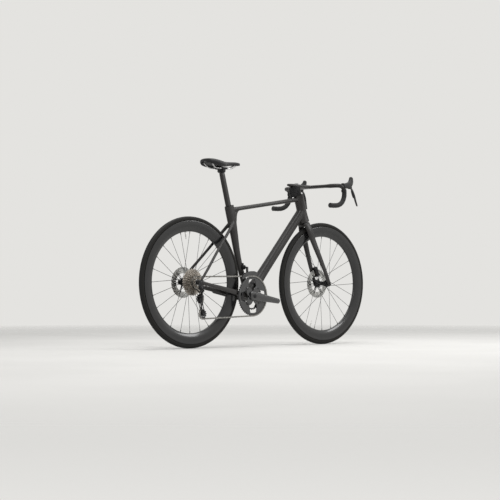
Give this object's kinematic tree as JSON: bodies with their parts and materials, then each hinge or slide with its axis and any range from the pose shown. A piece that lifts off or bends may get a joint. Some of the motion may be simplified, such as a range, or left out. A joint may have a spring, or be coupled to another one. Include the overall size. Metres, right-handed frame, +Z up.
{
  "type": "road bike",
  "caption": "Racing bicycle with an aero carbon frame, deep rims, disc brakes, drop handlebar with integrated stem, and derailleur gears; shown without pedals.",
  "frame": {"origin": "on the ground, midway between the axles, in the bicycle's mid plane", "axes": "+X forward, +Y to the rider's left, +Z up; the chain is on the -Y side"},
  "size_m": [1.6738, 0.465, 0.9847],
  "materials": {
    "matte_carbon": "satin clear coat over carbon laminate",
    "gloss_carbon": "gloss clear coat over carbon laminate",
    "tyre_rubber": "matte",
    "soft_rubber": "matte, lightly textured",
    "black_metal": "black anodised",
    "steel": "brushed",
    "cog_steel": "nickel plated",
    "chain_steel": "nickel plated, oiled",
    "pad": "matte friction material"
  },
  "bodies": {
    "frame": {"head_tube": "matte_carbon", "top_tube": "matte_carbon", "down_tube": "matte_carbon", "seat_tube": "matte_carbon", "bottom_bracket_shell": "matte_carbon", "chainstay_left": "matte_carbon", "chainstay_right": "matte_carbon", "seatstay_left": "matte_carbon", "seatstay_right": "matte_carbon", "upper_headset_bearing": "black_metal", "lower_headset_bearing": "black_metal", "bottom_bracket": "black_metal", "seatpost_wedge": "black_metal", "rear_caliper": "black_metal", "rear_thru_axle": "black_metal", "derailleur_hanger": "black_metal", "front_derailleur_body": "black_metal", "chain": "chain_steel"},
    "rear_wheel": {"rear_tyre": "tyre_rubber", "rear_rim": "gloss_carbon", "rear_hub": "black_metal", "rear_rotor": "steel"},
    "cassette_group": {"cassette": "cog_steel"},
    "cranks": {"crank_arm_right": "black_metal", "outer_chainring": "black_metal", "inner_chainring": "black_metal", "crank_arm_left": "black_metal"},
    "steering": {"fork": "matte_carbon", "headset_spacers": "soft_rubber", "handlebar": "matte_carbon", "bar_tape_left": "soft_rubber", "bar_tape_right": "soft_rubber", "hood_left": "soft_rubber", "hood_right": "soft_rubber", "stem_cap": "gloss_carbon", "front_caliper": "black_metal", "front_thru_axle": "black_metal"},
    "front_wheel": {"front_tyre": "tyre_rubber", "front_rim": "gloss_carbon", "front_hub": "black_metal", "front_rotor": "steel"},
    "lever_left": {"brake_lever_left": "black_metal"},
    "lever_right": {"brake_lever_right": "black_metal"},
    "paddle_left": {"shift_paddle_left": "black_metal"},
    "paddle_right": {"shift_paddle_right": "black_metal"},
    "rd_outer": {"rd_outer_link": "black_metal"},
    "rd_inner": {"rd_inner_link": "black_metal"},
    "rd_knuckle_group": {"rd_knuckle": "black_metal"},
    "rd_cage_group": {"rd_cage": "black_metal"},
    "guide_pulley": {"rd_guide_pulley": "black_metal"},
    "tension_pulley": {"rd_tension_pulley": "black_metal"},
    "front_derailleur": {"front_derailleur_cage": "black_metal"},
    "seatpost_group": {"seatpost": "matte_carbon"},
    "clamp_group": {"saddle_clamp": "black_metal"},
    "saddle_group": {"saddle": "soft_rubber", "saddle_rails": "steel"},
    "front_inner_pad": {"front_inner_brake_pad": "pad"},
    "front_outer_pad": {"front_outer_brake_pad": "pad"},
    "rear_inner_pad": {"rear_inner_brake_pad": "pad"},
    "rear_outer_pad": {"rear_outer_brake_pad": "pad"}
  },
  "joints": [
    {"name": "steering", "type": "hinge", "parent": "frame", "child": "steering", "pos_m": [0.45297, 0, 0.32584], "axis": [-0.2924, 0, 0.9563], "range_deg": [-60, 60]},
    {"name": "front_wheel_spin", "type": "hinge", "parent": "steering", "child": "front_wheel", "pos_m": [0.496, 0, 0.339], "axis": [0, 1, 0], "continuous": true},
    {"name": "rear_wheel_spin", "type": "hinge", "parent": "frame", "child": "rear_wheel", "pos_m": [-0.496, 0, 0.339], "axis": [0, 1, 0], "continuous": true},
    {"name": "crank_spin", "type": "hinge", "parent": "frame", "child": "cranks", "pos_m": [-0.09506, 0, 0.269], "axis": [0, 1, 0], "continuous": true, "deforming": ["chain"]},
    {"name": "cassette_spin", "type": "hinge", "parent": "frame", "child": "cassette_group", "pos_m": [-0.496, 0, 0.339], "axis": [0, 1, 0], "continuous": true},
    {"name": "rd_outer_link_swing", "type": "hinge", "parent": "frame", "child": "rd_outer", "pos_m": [-0.48888, -0.09619, 0.31013], "axis": [-0.344, 0.5634, 0.7512], "range_deg": [-14, 36], "deforming": ["chain"]},
    {"name": "rd_inner_link_swing", "type": "hinge", "parent": "frame", "child": "rd_inner", "pos_m": [-0.49912, -0.09141, 0.30186], "axis": [-0.344, 0.5634, 0.7512], "range_deg": [-14, 36]},
    {"name": "rd_knuckle_swing", "type": "hinge", "parent": "rd_outer", "child": "rd_knuckle_group", "pos_m": [-0.46688, -0.06809, 0.29913], "axis": [-0.344, 0.5634, 0.7512], "range_deg": [-36, 14]},
    {"name": "rd_cage_swing", "type": "hinge", "parent": "rd_knuckle_group", "child": "rd_cage_group", "pos_m": [-0.475, -0.047, 0.268], "axis": [0, 1, 0], "range_deg": [-40, 0], "stiffness_Nm_per_rad": 0.3, "springref_deg": 20.05, "deforming": ["chain"]},
    {"name": "guide_pulley_spin", "type": "hinge", "parent": "rd_cage_group", "child": "guide_pulley", "pos_m": [-0.472, -0.047, 0.256], "axis": [0, 1, 0], "continuous": true},
    {"name": "tension_pulley_spin", "type": "hinge", "parent": "rd_cage_group", "child": "tension_pulley", "pos_m": [-0.45, -0.047, 0.1763], "axis": [0, 1, 0], "continuous": true},
    {"name": "front_derailleur_swing", "type": "hinge", "parent": "frame", "child": "front_derailleur", "pos_m": [-0.12908, -0.031, 0.421], "axis": [1, 0, 0], "range_deg": [0, 8], "deforming": ["chain"]},
    {"name": "brake_lever_left_pull", "type": "hinge", "parent": "steering", "child": "lever_left", "pos_m": [0.528, 0.185, 0.8685], "axis": [0, 1, 0], "range_deg": [0, 18], "stiffness_Nm_per_rad": 0.5, "springref_deg": -8.59},
    {"name": "brake_lever_right_pull", "type": "hinge", "parent": "steering", "child": "lever_right", "pos_m": [0.528, -0.185, 0.8685], "axis": [0, 1, 0], "range_deg": [0, 18], "stiffness_Nm_per_rad": 0.5, "springref_deg": -8.59},
    {"name": "shift_paddle_left_push", "type": "hinge", "parent": "lever_left", "child": "paddle_left", "pos_m": [0.5377, 0.184, 0.8505], "axis": [-0.9181, 0, -0.3963], "range_deg": [0, 8], "stiffness_Nm_per_rad": 0.1, "springref_deg": -2.86},
    {"name": "shift_paddle_right_push", "type": "hinge", "parent": "lever_right", "child": "paddle_right", "pos_m": [0.5377, -0.184, 0.8505], "axis": [0.9181, 0, 0.3963], "range_deg": [0, 8], "stiffness_Nm_per_rad": 0.1, "springref_deg": -2.86},
    {"name": "seatpost_height", "type": "slide", "parent": "frame", "child": "seatpost_group", "axis": [-0.2656, 0, 0.9641], "range_m": [-0.025, 0.03]},
    {"name": "saddle_tilt", "type": "hinge", "parent": "seatpost_group", "child": "clamp_group", "pos_m": [-0.27603, 0, 0.926], "axis": [0, 1, 0], "range_deg": [-4, 4]},
    {"name": "saddle_setback", "type": "slide", "parent": "clamp_group", "child": "saddle_group", "axis": [1, 0, 0], "range_m": [-0.012, 0.015]},
    {"name": "front_inner_pad_slide", "type": "slide", "parent": "steering", "child": "front_inner_pad", "axis": [0, 1, 0], "range_m": [0, 0.00031]},
    {"name": "front_outer_pad_slide", "type": "slide", "parent": "steering", "child": "front_outer_pad", "axis": [0, -1, 0], "range_m": [0, 0.00031]},
    {"name": "rear_inner_pad_slide", "type": "slide", "parent": "frame", "child": "rear_inner_pad", "axis": [0, 1, 0], "range_m": [0, 0.00031]},
    {"name": "rear_outer_pad_slide", "type": "slide", "parent": "frame", "child": "rear_outer_pad", "axis": [0, -1, 0], "range_m": [0, 0.00031]}
  ],
  "couplings": [
    {"joint": "cassette_spin", "follows": "crank_spin", "ratio": 3.7143},
    {"joint": "guide_pulley_spin", "follows": "crank_spin", "ratio": -4.3333},
    {"joint": "tension_pulley_spin", "follows": "crank_spin", "ratio": 4.3333},
    {"joint": "rd_inner_link_swing", "follows": "rd_outer_link_swing", "ratio": 1},
    {"joint": "rd_knuckle_swing", "follows": "rd_outer_link_swing", "ratio": -1},
    {"joint": "front_inner_pad_slide", "follows": "brake_lever_left_pull", "m_per_rad": 0.0009549},
    {"joint": "front_outer_pad_slide", "follows": "brake_lever_left_pull", "m_per_rad": 0.0009549},
    {"joint": "rear_inner_pad_slide", "follows": "brake_lever_right_pull", "m_per_rad": 0.0009549},
    {"joint": "rear_outer_pad_slide", "follows": "brake_lever_right_pull", "m_per_rad": 0.0009549}
  ]
}
